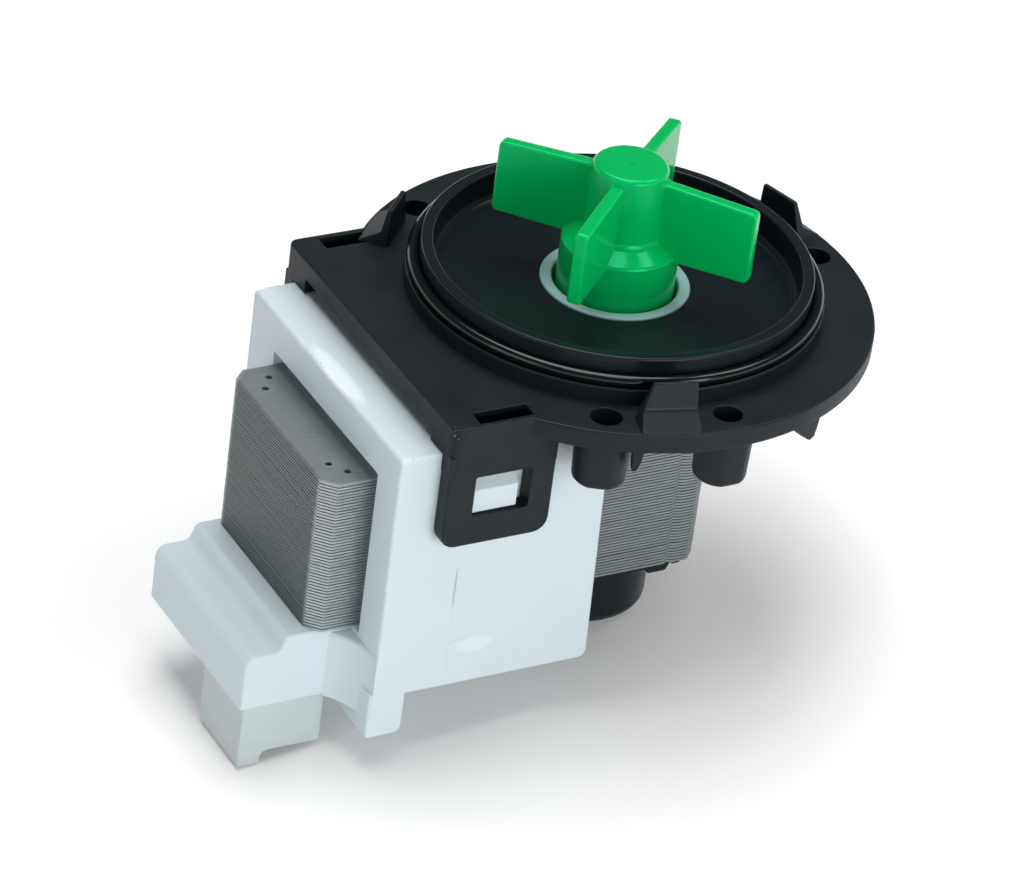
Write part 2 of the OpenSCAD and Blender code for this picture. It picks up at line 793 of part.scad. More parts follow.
module connector_socket() {
    color([0.68, 0.72, 0.71])
        coil_side()
            difference() {
                union() {
                    block([socket_x - socket_l, -socket_y - socket_w, -socket_low],
                          [socket_x, -socket_y, -block_low]);
                    socket_neck(0);
                }
                block([socket_x - socket_l + socket_wall, -socket_y - socket_w + socket_wall,
                       -socket_low - over],
                      [socket_x - socket_wall, -socket_y - socket_wall, -block_low - socket_floor_t]);
                block([socket_x - socket_l - over, -socket_y - socket_w - over, -socket_low - over],
                      [socket_x - notch_leg, -socket_y + over, -socket_low + notch_h]);
                terminal_shape(front_tab_y, pocket_fit);
                terminal_shape(back_tab_y, pocket_fit);
            }
}

module front_terminal() { color([0.8, 0.7, 0.4]) coil_side() terminal_shape(front_tab_y, 0); }
module back_terminal() { color([0.8, 0.7, 0.4]) coil_side() terminal_shape(back_tab_y, 0); }

module shaft() {
    color([0.75, 0.76, 0.78]) tube(shaft_r, 0, can_floor + shaft_end_gap, shaft_top);
}

module magnet_carrier() {
    color([0.9, 0.88, 0.8])
        tube(carrier_r, shaft_r + seat_gap, lower_washer_z + washer_t + seat_gap,
             upper_washer_z - seat_gap);
}

module rotor_magnet() {
    color([0.25, 0.25, 0.27])
        tube(magnet_r, carrier_r + seat_gap, -core_low - magnet_over, -core_drop + magnet_over);
}

module thrust_washer(low) {
    color([0.93, 0.93, 0.9]) tube(washer_r, shaft_r + seat_gap, low, low + washer_t);
}

module lower_thrust_washer() { thrust_washer(lower_washer_z); }
module upper_thrust_washer() { thrust_washer(upper_washer_z); }

// The dog on the shaft that pushes the impeller round
module drive_dog() {
    color([0.85, 0.83, 0.75])
        difference() {
            union() {
                tube(dog_boss_r, 0, dog_low - edge, dog_low + dog_h + edge);
                tube_slice(dog_r, shaft_r + edge, dog_low, dog_low + dog_h,
                           -dog_half_angle, dog_half_angle);
            }
            tube(shaft_r + seat_gap, 0, dog_low - over, dog_low + dog_h + over);
        }
}

// Hub and skirt, with the hollow for the drive and the blind hole for the shaft
module hub_outline() {
    polygon(concat(
        [[0, -skirt_drop], [skirt_r, -skirt_drop], [skirt_r, bevel_low], [hub_base_r, bevel_high]],
        arc(hub_r - hub_round, hub_top - hub_round, hub_round, 0, 90),
        [[0, hub_top]]));
}

module blade() {
    along_y(-blade_t / 2, blade_t / 2)
        polygon(concat(
            [[0, blade_low]],
            arc(blade_r - blade_corner_r, blade_low + blade_corner_r, blade_corner_r, -90, 0),
            arc(blade_r - blade_corner_r, blade_high - blade_corner_r, blade_corner_r, 0, 90),
            [[hub_r - hub_round, blade_high + blade_rise], [0, blade_high + blade_rise]]));
}

module impeller() {
    color([0, 0.62, 0.28]) {
        difference() {
            union() {
                rotate_extrude() hub_outline();
                for (i = [0 : blade_count - 1])
                    rotate([0, 0, blade_angle + i * 360 / blade_count]) blade();
            }
            tube(hollow_r, 0, -skirt_drop - over, hollow_top);
            tube(shaft_r + run_gap, 0, 0, shaft_top + shaft_end_gap);
        }
        tube_slice(hollow_r + edge, stop_r, stop_low, hollow_top + edge,
                   180 - stop_half_angle, 180 + stop_half_angle);
    }
}

module damper_pads() {
    color([0.12, 0.12, 0.12])
        both_sides()
            tube_slice(hollow_r - seat_gap, stop_r, stop_low, hollow_top - seat_gap,
                       180 - stop_half_angle - pad_angle, 180 - stop_half_angle);
}

module hub_cap() {
    color([0, 0.55, 0.25])
        tube(hollow_r - seat_gap, shaft_r + hub_cap_gap, -skirt_drop, -skirt_drop + hub_cap_t);
}

flange_housing();
spigot_seal();
bearing_cap();
upper_bearing_mount();
upper_bearing();
lower_bearing_mount();
lower_bearing();
stator_housing();
core_pack();
front_bobbin();
back_bobbin();
front_winding();
back_winding();
connector_socket();
front_terminal();
back_terminal();
shaft();
magnet_carrier();
rotor_magnet();
lower_thrust_washer();
upper_thrust_washer();
drive_dog();
impeller();
damper_pads();
hub_cap();
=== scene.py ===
import json
import math
from functools import cache

import bmesh
import bpy
import numpy as np
from bpy.props import FloatProperty, FloatVectorProperty, IntProperty, PointerProperty
from mathutils import Matrix, Vector
from mathutils.geometry import tessellate_polygon


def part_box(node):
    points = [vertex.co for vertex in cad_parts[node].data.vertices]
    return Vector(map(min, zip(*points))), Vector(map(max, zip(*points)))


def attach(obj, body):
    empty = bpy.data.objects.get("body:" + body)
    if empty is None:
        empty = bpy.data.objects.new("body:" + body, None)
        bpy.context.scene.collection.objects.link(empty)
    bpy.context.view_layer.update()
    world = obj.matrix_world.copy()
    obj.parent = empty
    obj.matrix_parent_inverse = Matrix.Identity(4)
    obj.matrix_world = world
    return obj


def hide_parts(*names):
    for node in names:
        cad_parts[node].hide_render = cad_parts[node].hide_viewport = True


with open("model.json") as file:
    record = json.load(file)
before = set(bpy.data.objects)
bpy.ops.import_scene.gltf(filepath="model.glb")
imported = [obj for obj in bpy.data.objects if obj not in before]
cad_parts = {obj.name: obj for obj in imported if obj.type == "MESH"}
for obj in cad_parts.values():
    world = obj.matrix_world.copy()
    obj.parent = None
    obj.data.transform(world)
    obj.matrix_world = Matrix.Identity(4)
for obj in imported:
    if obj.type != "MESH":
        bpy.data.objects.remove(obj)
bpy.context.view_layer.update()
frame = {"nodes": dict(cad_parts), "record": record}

bl_info = {
    "name": "Drain Pump Dressing",
    "version": (1, 0, 0),
    "blender": (4, 5, 0),
    "location": "3D View > Sidebar > Drain Pump",
    "description": "Finishes and fine pieces for a washer drain pump around its fixed frame",
    "category": "Add Mesh",
}

SOCKET_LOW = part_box("connector_socket")[0]

MM = 0.001
FLUSH = 0.01  # millimetres between two faces that would lie in one plane
FLANGE_R, FLANGE_T, FLANGE_EDGE, WING_X, WING_Y = 42.0, 3.4, 0.4, 43.3, 29.5
RIM_R, RIM_FOOT_R = 31.4, 33.5
SCREW_CIRCLE_R = 37.4
SCREWS = ((0, 2.5), (120, 2.5), (240, 2.5), (-90, 2.3))  # angle and radius of each hole
SLOT_X, SLOT_Y, CLIP_X = (-38.4, -29.1), (25.3, 28.3), -24.6
HUB_TOP, BLADE_R = 23.7, 21.7
HOUSING_Y, HOUSING_TOP, HOUSING_LOW, FRAME_X = 26.3, -5.9, -50.7, 50.2
BLOCK_Y, BLOCK_LOW, SOCKET_FOOT = 17.0, -55.0, 3.9
CORE_LOW, CORE_H = -42.3, 27.6
GRAIN_STRENGTH = 0.5
SHARP_ANGLE, FACE_WEIGHT = math.radians(38), 80

LAMPS = (  # name, place, width and height in metres
    ("overhead", (0.03, 0.28, 1.1), 0.75, 0.75),
    ("right", (0.55, -0.15, 0.85), 0.4, 0.4),
    ("key", (-0.14, -0.21, 0.96), 0.4, 0.1),
    ("front", (0.1, -0.97, 0.2), 0.6, 0.6),
    ("side", (-0.95, -0.2, 0.2), 0.5, 0.5),
)
LAMP_AIM = (-0.01, 0, -0.02)


class DrainPumpFinish(bpy.types.PropertyGroup):
    """Sizes and colours of the finished surfaces"""
    edge_radius: FloatProperty(
        name="Edge radius", description="Rounding of the moulded edges",
        default=0.0003, min=0.00005, max=0.0005, unit="LENGTH")
    blade_edge: FloatProperty(
        name="Blade edge", description="Rounding of the blades' edges",
        default=0.00045, min=0.0002, max=0.0006, unit="LENGTH")
    sheet_count: IntProperty(
        name="Sheets", description="Number of stamped sheets in the core",
        default=50, min=20, max=60)
    sheet_gap: FloatProperty(
        name="Sheet gap", description="Groove between two sheets",
        default=0.00016, min=0.00002, max=0.0003, unit="LENGTH")
    sheet_shift: FloatProperty(
        name="Sheet shift", description="Most that one sheet stands back from its neighbours",
        default=0.00005, min=0, max=0.0001, unit="LENGTH")
    black: FloatVectorProperty(
        name="Flange", description="Colour of the flange", subtype="COLOR",
        default=(0.0054, 0.0104, 0.0130), min=0, max=1)
    green: FloatVectorProperty(
        name="Impeller", description="Colour of the impeller", subtype="COLOR",
        default=(0.0, 0.44, 0.100), min=0, max=1)
    white: FloatVectorProperty(
        name="Housing", description="Colour of the stator housing", subtype="COLOR",
        default=(0.62, 0.71, 0.75), min=0, max=1)
    steel: FloatVectorProperty(
        name="Sheet steel", description="Colour of the stamped sheets", subtype="COLOR",
        default=(0.215, 0.245, 0.252), min=0, max=1)


class DrainPumpStage(bpy.types.PropertyGroup):
    """Table, light and camera"""
    floor_tilt: FloatProperty(
        name="Floor tilt", description="Slope of the table against the flange's plane",
        default=math.radians(7.5), unit="ROTATION")
    azimuth: FloatProperty(
        name="Azimuth", description="Direction of the camera from the pump, in the flange's plane",
        default=math.radians(-121.80), unit="ROTATION")
    elevation: FloatProperty(
        name="Elevation", description="Height angle of the camera", default=math.radians(32.32),
        unit="ROTATION")
    roll: FloatProperty(
        name="Roll", description="Turn of the camera about its view", default=math.radians(7.78),
        unit="ROTATION")
    distance: FloatProperty(
        name="Distance", description="Distance of the camera", default=0.93149, unit="LENGTH")
    focal_px: FloatProperty(
        name="Focal length", description="Focal length in image pixels", default=5822.83)
    image_width: IntProperty(
        name="Image width", description="Width of the image in pixels", default=1024, min=1)
    sky: FloatProperty(name="Sky", description="Level of the even light from above", default=0.1)
    horizon: FloatProperty(
        name="Horizon", description="Level of the even light round the horizon", default=0.95)
    overhead: FloatProperty(
        name="Overhead lamp", description="Power of the lamp above", default=9.2, unit="POWER")
    front: FloatProperty(
        name="Front lamp", description="Power of the lamp in front", default=5.2, unit="POWER")
    key: FloatProperty(
        name="Key lamp", description="Power of the strip lamp above the camera", default=1.4,
        unit="POWER")
    side: FloatProperty(
        name="Side lamp", description="Power of the lamp at the connector's side", default=1.1,
        unit="POWER")
    right: FloatProperty(
        name="Right lamp", description="Power of the lamp above the flange's side", default=2.4,
        unit="POWER")
    floor_glow: FloatProperty(
        name="Floor glow", description="Glow that lifts the lit floor to white", default=0.11)
    target: FloatVectorProperty(
        name="Target", description="Point that the camera looks at", size=3, subtype="XYZ",
        unit="LENGTH", default=(-0.01447, 0.00097, -0.025))


# Node trees


def add(tree, kind, values=None, **settings):
    """A node of one kind, with its settings, its links and its plain inputs."""
    made = tree.nodes.new(kind)
    for name, value in settings.items():
        setattr(made, name, value)
    for name, value in (values or {}).items():
        if isinstance(value, bpy.types.NodeSocket):
            tree.links.new(value, made.inputs[name])
        else:
            made.inputs[name].default_value = value
    return made


def computed(tree, operation, *values):
    """The result of one sum, product or the like of numbers."""
    return add(tree, "ShaderNodeMath", dict(enumerate(values)), operation=operation).outputs[0]


def vector(tree, operation, *values):
    """The same for vectors, whose length comes out as a number."""
    made = add(tree, "ShaderNodeVectorMath", dict(enumerate(values)), operation=operation)
    return made.outputs["Value" if operation == "LENGTH" else "Vector"]


def ranged(tree, value, first, last, low=0.0, high=1.0, curve="LINEAR"):
    """A number that goes from low to high while the value goes from first to last."""
    return add(tree, "ShaderNodeMapRange",
               {"Value": value, "From Min": first, "From Max": last, "To Min": low, "To Max": high},
               interpolation_type=curve).outputs["Result"]


def mixed(tree, share, first, last, kind="FLOAT"):
    """A mix of two numbers, or of two colours with the kind RGBA."""
    return add(tree, "ShaderNodeMix", {"Factor": share, "A": first, "B": last},
               data_type=kind).outputs["Result"]


def noise(tree, place, per_metre, detail):
    """Even noise with so many waves to a metre."""
    return add(tree, "ShaderNodeTexNoise",
               {"Vector": place, "Scale": per_metre, "Detail": detail}).outputs["Fac"]


def toned(color, *levels):
    """The colour at several levels of brightness, with its alpha."""
    return [(*[min(1.0, c * level) for c in color], 1.0) for level in levels]


# Node groups that several materials share


def new_group(name, inputs, outputs):
    """An empty node group with named sockets; returns it with its first and last sockets."""
    group = bpy.data.node_groups.new(name, "ShaderNodeTree")
    for kind, label, value in inputs:
        socket = group.interface.new_socket(label, in_out="INPUT", socket_type=kind)
        if value is not None:
            socket.default_value = value
    for label in outputs:
        group.interface.new_socket(label, in_out="OUTPUT", socket_type="NodeSocketFloat")
    start, end = group.nodes.new("NodeGroupInput"), group.nodes.new("NodeGroupOutput")
    return group, start.outputs, end.inputs


@cache
def grain_group():
    """Fine moulded grain and slow mottling: one fine and one coarse noise."""
    group, start, end = new_group(
        "Moulded Grain",
        [("NodeSocketVector", "Vector", None), ("NodeSocketFloat", "Grain per metre", 6000.0),
         ("NodeSocketFloat", "Mottle per metre", 120.0)], ["Grain", "Mottle"])
    for label, detail in (("Grain", 2.0), ("Mottle", 3.0)):
        waves = noise(group, start["Vector"], start[label + " per metre"], detail)
        group.links.new(waves, end[label])
    return group


@cache
def mark_group():
    """Specks and a haze inside an oval: the distance from its centre, in its half sizes, fades the
    haze, and a fine noise picks the specks."""
    group, start, end = new_group(
        "Handling Marks",
        [("NodeSocketVector", "Vector", None), ("NodeSocketVector", "Center", (0, 0, 0)),
         ("NodeSocketVector", "Half size", (0.001, 0.001, 0.001)),
         ("NodeSocketFloat", "Speck per metre", 1500.0), ("NodeSocketFloat", "Speck level", 0.62)],
        ["Haze", "Specks"])
    apart = vector(group, "SUBTRACT", start["Vector"], start["Center"])
    reach = vector(group, "LENGTH", vector(group, "DIVIDE", apart, start["Half size"]))
    haze = ranged(group, reach, 1.0, 0.6, curve="SMOOTHSTEP")
    fine = noise(group, start["Vector"], start["Speck per metre"], 2.0)
    over = computed(group, "GREATER_THAN", fine, start["Speck level"])
    group.links.new(haze, end["Haze"])
    group.links.new(computed(group, "MULTIPLY", over, haze), end["Specks"])
    return group


# Materials


def blank_material(name, color, roughness, **sockets):
    """A material with one Principled shader, whose plain values are set on its own sockets."""
    made = bpy.data.materials.new(name)
    made.use_nodes = True
    tree = made.node_tree
    shader = tree.nodes["Principled BSDF"]
    shader.inputs["Base Color"].default_value = (*color, 1.0)
    shader.inputs["Roughness"].default_value = roughness
    for label, value in sockets.items():
        shader.inputs[label.replace("_", " ")].default_value = value
    place = add(tree, "ShaderNodeTexCoord").outputs["Object"]
    return made, tree, shader, place


def moulding(name, color, roughness, per_metre=6000.0, height=0.01, spread=0.05, tint=0.06,
             **sockets):
    """A moulded plastic or rubber: grain of a height in mm in the normal, and slow mottling in
    colour and roughness. Returns the material and what a mark or a polish on it needs."""
    made, tree, shader, place = blank_material(name, color, roughness, **sockets)
    grain = add(tree, "ShaderNodeGroup", {"Vector": place, "Grain per metre": per_metre},
                node_tree=grain_group()).outputs
    rough = ranged(tree, grain["Mottle"], 0.3, 0.7, roughness - spread, roughness + spread)
    shade = mixed(tree, grain["Mottle"], *toned(color, 1 - tint, 1 + tint), "RGBA")
    bump = add(tree, "ShaderNodeBump", {"Height": grain["Grain"], "Strength": GRAIN_STRENGTH,
                                       "Distance": height * MM})
    for value, label in ((rough, "Roughness"), (shade, "Base Color"), (bump.outputs[0], "Normal")):
        tree.links.new(value, shader.inputs[label])
    return made, tree, shader, place, shade, rough, bump


def marked(tree, shader, place, shade, mask, center, half_size, color, amount, per_metre=1500.0,
           level=0.62):
    """A mark's colour over the shade, inside an oval given in mm; returns the new shade."""
    mark = add(tree, "ShaderNodeGroup",
               {"Vector": place, "Center": [v * MM for v in center],
                "Half size": [v * MM for v in half_size], "Speck per metre": per_metre,
                "Speck level": level}, node_tree=mark_group()).outputs[mask]
    over = mixed(tree, computed(tree, "MULTIPLY", mark, amount), shade, (*color, 1.0), "RGBA")
    tree.links.new(over, shader.inputs["Base Color"])
    return over


def black_material(color):
    """Matte black with specks on the wing's corner; the distance from the axis picks the polish
    inside the rim."""
    made, tree, shader, place, shade, rough, bump = moulding(
        "black_moulding", color, 0.45, 5000.0, 0.01, 0.06, 0.12, Specular_IOR_Level=0.22)
    radius = vector(tree, "LENGTH", vector(tree, "MULTIPLY", place, (1, 1, 0)))
    polish = ranged(tree, radius, (RIM_FOOT_R + 0.1) * MM, (RIM_FOOT_R - 0.1) * MM)
    tree.links.new(mixed(tree, polish, rough, 0.27), shader.inputs["Roughness"])
    tree.links.new(ranged(tree, polish, 0, 1, GRAIN_STRENGTH, 0.1), bump.inputs["Strength"])
    marked(tree, shader, place, shade, "Specks", (-42.2, -29.4, -0.5), (2.6, 2, 1.2),
           (0.35, 0.37, 0.38), 0.8, 2200.0, 0.66)
    return made


def white_material(color):
    """White with a pale haze on the frame's top strip, partly its scuff and partly painted light
    where the wing shades the strip, and the scuff's specks; the haze of the witness line and a
    smear on the coil box."""
    made, tree, shader, place, shade = moulding(
        "white_moulding", color, 0.45, 4000.0, 0.008, 0.05, 0.02, Specular_IOR_Level=0.25)[:5]
    pale, dark, grey = (0.8, 0.88, 0.92), (0.2, 0.22, 0.23), (0.30, 0.36, 0.39)
    # the first haze is partly the strip's scuff and partly painted light that lifts the strip the
    # wing shades
    for mark in (("Haze", (-48.6, -0.9, -6.1), (2.0, 11, 1.4), pale, 0.85),
                 ("Specks", (-49.6, 5, -6), (0.8, 4, 1), dark, 0.6, 2500.0, 0.64),
                 ("Haze", (-37.95, -26.3, -31.6), (0.22, 1, 4.6), grey, 0.6),
                 ("Haze", (-33.1, -26.3, -43.4), (4, 1, 1.8), pale, 0.35)):
        shade = marked(tree, shader, place, shade, *mark)
    return made


def plain(name, color, roughness, *grain, **sockets):
    """A moulded material with nothing more on it."""
    return moulding(name, color, roughness, *grain, **sockets)[0]


def steel_material(color):
    """Rolled sheet: long fine streaks in colour and roughness; painted shade darkens the yoke's end
    face, and a painted highlight brightens its cut corners and sides. A corner's cut is where -x
    and the size of y add up to one number."""
    made, tree, shader, place = blank_material("sheet_steel", color, 0.42, Metallic=0.6)
    drawn = add(tree, "ShaderNodeMapping", {"Vector": place, "Scale": (1.0, 12.0, 12.0)})
    streak = noise(tree, drawn.outputs["Vector"], 180.0, 5.0)
    shade = mixed(tree, streak, *toned(color, 0.8, 1.25), "RGBA")
    apart = add(tree, "ShaderNodeSeparateXYZ", {"Vector": place}).outputs
    across = computed(tree, "ABSOLUTE", apart["Y"])
    corner = computed(tree, "SUBTRACT", across, apart["X"])
    # painted shade: the end face beyond x = -57.2 mm is darkened to 0.6 of its colour
    end = mixed(tree, ranged(tree, apart["X"], -57.2 * MM, -57.7 * MM), 1.0, 0.6)
    # painted highlight: the cut corners, and the yoke's sides, are brightened to 1.6 of their
    # colour
    cut = ranged(tree, corner, 72.0 * MM, 72.8 * MM)
    sides = ranged(tree, across, 17.0 * MM, 17.3 * MM)
    yoke = ranged(tree, apart["X"], -30 * MM, -45 * MM)
    painted_highlight = computed(tree, "MAXIMUM", cut, computed(tree, "MULTIPLY", sides, yoke))
    level = mixed(tree, painted_highlight, end, 1.6)
    shade = add(tree, "ShaderNodeVectorMath", {0: shade, "Scale": level}, operation="SCALE")
    tree.links.new(shade.outputs[0], shader.inputs["Base Color"])
    tree.links.new(ranged(tree, streak, 0, 1, 0.3, 0.55), shader.inputs["Roughness"])
    return made


def metal(name, color, roughness):
    """Bare metal whose roughness varies finely."""
    made, tree, shader, place = blank_material(name, color, roughness, Metallic=1.0)
    fine = noise(tree, place, 2500.0, 3.0)
    tree.links.new(ranged(tree, fine, 0, 1, roughness - 0.08, roughness + 0.08),
                   shader.inputs["Roughness"])
    return made


MATERIALS = {}


def build_materials(finish):
    """One material for each slot of the record."""
    MATERIALS.update(
        black_plastic=black_material(finish.black),
        seal_rubber=plain("greased_rubber", (0.004, 0.005, 0.006), 0.14, 2500.0, 0.004,
                          Specular_IOR_Level=0.4),
        cap_plastic=plain("cap_moulding", (0.25, 0.44, 0.425), 0.4),
        mount_rubber=plain("mount_rubber", (0.02, 0.02, 0.02), 0.7),
        bearing_bush=metal("sintered_bush", (0.2, 0.17, 0.14), 0.55),
        white_plastic=white_material(finish.white),
        steel_sheets=steel_material(finish.steel),
        bobbin_plastic=plain("bobbin_moulding", (0.72, 0.7, 0.62), 0.5),
        copper_wire=metal("enamelled_copper", (0.55, 0.2, 0.07), 0.35),
        socket_plastic=plain("socket_moulding", (0.50, 0.57, 0.575), 0.38),
        terminal_brass=metal("tinned_brass", (0.62, 0.55, 0.36), 0.3),
        shaft_steel=metal("ground_steel", (0.6, 0.6, 0.62), 0.22),
        magnet_ferrite=metal("ferrite", (0.05, 0.05, 0.055), 0.6),
        washer_plastic=plain("washer_moulding", (0.8, 0.78, 0.72), 0.5),
        green_plastic=plain("green_moulding", finish.green, 0.18, 3000.0, 0.003, 0.04, 0.04,
                            Specular_IOR_Level=0.45, Specular_Tint=(0.15, 1.0, 0.8, 1.0),
                            Subsurface_Weight=0.15, Subsurface_Scale=0.002,
                            Subsurface_Radius=(0.3, 1.0, 0.4)),
    )


# Mesh makers. Shapes are worked out in millimetres and become metres in new_piece.


def rounded_loop(points, radii, steps=5):
    """An outline whose corners become arcs: a corner's arc is tangent to both its sides, with its
    centre on the bisector, the radius over the sine of the half angle away from the corner."""
    corner = np.asarray(points, float)
    radii = np.broadcast_to(np.asarray(radii, float), len(corner))[:, None]
    before = np.roll(corner, 1, 0) - corner
    after = np.roll(corner, -1, 0) - corner
    before /= np.linalg.norm(before, axis=1, keepdims=True)
    after /= np.linalg.norm(after, axis=1, keepdims=True)
    half = np.arccos(np.clip((before * after).sum(1, keepdims=True), -0.9999, 0.9999)) / 2
    middle = before + after
    middle /= np.maximum(np.linalg.norm(middle, axis=1, keepdims=True), 1e-9)
    center = corner + middle * radii / np.sin(half)
    first = corner + before * radii / np.tan(half) - center
    last = corner + after * radii / np.tan(half) - center
    swing = (np.pi - 2 * half)[:, None]
    part = np.linspace(0, 1, steps)[None, :, None]
    bent = np.sin((1 - part) * swing) * first[:, None] + np.sin(part * swing) * last[:, None]
    keep = (radii > 0) | (np.arange(steps)[None] == 0)
    return (center[:, None] + bent / np.sin(swing))[keep]


def arc(x, y, r, start, end, steps=8):
    """Points on a circle, from one angle to another, in degrees."""
    turn = np.radians(np.linspace(start, end, steps))
    return np.stack([x + r * np.cos(turn), y + r * np.sin(turn)], -1)


def circle(x, y, r, steps=48):
    """Points all round a circle."""
    return arc(x, y, r, 0, 360, steps + 1)[:-1]


def rect(x0, y0, x1, y1):
    """A rectangle from two opposite corners."""
    return np.array([[x0, y0], [x1, y0], [x1, y1], [x0, y1]], float)


def inset(loop, distance):
    """The outline moved to its left: each corner goes along the sum of its two sides' normals, by
    the distance over one plus the cosine between them."""
    side = np.roll(loop, -1, 0) - loop
    side /= np.linalg.norm(side, axis=1, keepdims=True)
    normal = np.stack([-side[:, 1], side[:, 0]], -1)
    before = np.roll(normal, 1, 0)
    return loop + distance * (before + normal) / (1 + (before * normal).sum(1, keepdims=True))


def turned_left(loop, left=True):
    """The outline in the order that keeps its inside on the left, or on the right for a hole."""
    ahead = np.roll(loop, -1, 0)
    area = (loop[:, 0] * ahead[:, 1] - loop[:, 1] * ahead[:, 0]).sum()
    return loop if (area > 0) == left else loop[::-1]


def grid_faces(rows, columns):
    """Quads between the rows of a grid whose rows are rings."""
    i, j = np.meshgrid(np.arange(rows - 1) * columns, np.arange(columns), indexing="ij")
    k = (j + 1) % columns
    return np.stack([i + j, i + k, i + columns + k, i + columns + j], -1).reshape(-1, 4)


def plate(loops, low, high, round_low=0.0, round_high=0.0, hole_round=0.15, steps=4):
    """A plate with an outer outline and holes, between two heights. The same profile runs along
    each outline: a quarter circle in from the low face, the wall, a quarter circle to the high
    face."""
    turn = np.linspace(0, np.pi / 2, steps)
    points, faces, caps, start = [], [], ([], []), 0
    for index, loop in enumerate(loops):
        line = turned_left(np.asarray(loop, float), index == 0)
        radii = [min(r, hole_round) if index else r for r in (round_low, round_high)]
        wall = [r * np.stack([1 - np.sin(turn), 1 - np.cos(turn)], -1) if r else np.zeros((1, 2))
                for r in radii]
        level = np.concatenate([wall[0] + [0, low], (wall[1] * [1, -1])[::-1] + [0, high]])
        rings = np.stack([np.column_stack([inset(line, inward), np.full(len(line), height)])
                          for inward, height in level])
        points.append(rings.reshape(-1, 3))
        faces += (grid_faces(len(level), len(line)) + start).tolist()
        caps[0].append(start + np.arange(len(line)))
        caps[1].append(start + (len(level) - 1) * len(line) + np.arange(len(line)))
        start += rings.shape[0] * rings.shape[1]
    points = np.vstack(points)
    for cap, order in zip(caps, (-1, 1)):
        if len(cap) == 1:
            faces.append(cap[0][::order].tolist())
        else:
            flat = [[Vector(points[i]) for i in ring] for ring in cap]
            named = np.concatenate(cap)
            faces += [named[list(t)].tolist() for t in tessellate_polygon(flat)]
    return points, faces


def revolved(profile, around=192):
    """A profile of radius and height turned about the axis: r cos u, r sin u, z. A profile that
    starts and ends on the axis closes in one point at each end; any other is a ring."""
    profile = np.asarray(profile, float)
    turn = np.linspace(0, 2 * np.pi, around, endpoint=False)
    ends = profile[0, 0] == 0
    line = profile[1:-1] if ends else np.vstack([profile, profile[:1]])
    points = np.stack([line[:, :1] * np.cos(turn), line[:, :1] * np.sin(turn),
                       line[:, 1:] + 0 * turn], -1).reshape(-1, 3)
    if not ends:
        points = points[:-around]
        return points, (grid_faces(len(line), around) % len(points)).tolist()
    faces = grid_faces(len(line), around).tolist()
    i = np.arange(around)
    k = (i + 1) % around
    last = (len(line) - 1) * around
    low, high = len(points), len(points) + 1
    faces += np.stack([np.full(around, low), k, i], -1).tolist()
    faces += np.stack([last + i, last + k, np.full(around, high)], -1).tolist()
    return np.vstack([points, [[0, 0, profile[0, 1]], [0, 0, profile[-1, 1]]]]), faces


def revolved_corners(corners, steps=5, around=192):
    """The same from the profile's corners, each with its radius, height and rounding."""
    table = np.array(corners)
    return revolved(rounded_loop(table[:, :2], table[:, 2], steps), around)


def lofted(rings):
    """Closed sections of equal count, one after another, with a flat end at each side."""
    rows, columns = rings.shape[:2]
    faces = grid_faces(rows, columns).tolist()
    faces += [list(range(columns)), [(rows - 1) * columns + i for i in range(columns)]]
    return rings.reshape(-1, 3), faces


def moved(shell, change):
    """The shell with its points changed."""
    return change(shell[0]), shell[1]


def along_y(shell):
    """An outline in X and Z that was drawn in the plane, with its height now along Y."""
    return moved(shell, lambda p: p[:, [0, 2, 1]])


def along_x(shell):
    """An outline in Y and Z that was drawn in the plane, with its height now towards -X."""
    return moved(shell, lambda p: p[:, [2, 0, 1]] * [-1, 1, 1])


def turned(shell, angle):
    """The shell turned about the axis: x cos a - y sin a, x sin a + y cos a."""
    c, s = math.cos(math.radians(angle)), math.sin(math.radians(angle))
    return moved(shell, lambda p: p @ np.array([[c, s, 0], [-s, c, 0], [0, 0, 1]]))


def both_sides(shells):
    """The same shells on both sides of the middle plane."""
    return shells + [moved(shell, lambda p: p * [1, -1, 1]) for shell in shells]


def new_piece(name, shells, slot, body, replaces=None):
    """One mesh object from closed shells, with its slot's finish, riding on its body."""
    counts = np.cumsum([0] + [len(points) for points, faces in shells])
    points = np.vstack([points for points, faces in shells]) * MM
    faces = [[i + start for i in face] for start, shell in zip(counts, shells) for face in shell[1]]
    mesh = bpy.data.meshes.new(name)
    mesh.from_pydata(points.tolist(), [], faces)
    work = bmesh.new()
    work.from_mesh(mesh)
    bmesh.ops.recalc_face_normals(work, faces=work.faces)
    work.to_mesh(mesh)
    work.free()
    mesh.shade_smooth()
    mesh.set_sharp_from_angle(angle=SHARP_ANGLE)
    mesh.materials.append(MATERIALS[slot])
    made = bpy.data.objects.new(name, mesh)
    bpy.context.scene.collection.objects.link(made)
    shade = made.modifiers.new("flat_faces", "WEIGHTED_NORMAL")
    shade.keep_sharp = True
    shade.weight = FACE_WEIGHT
    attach(made, body)
    if replaces:
        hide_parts(replaces)
    return made


# The black flange, its clips and the rotor can


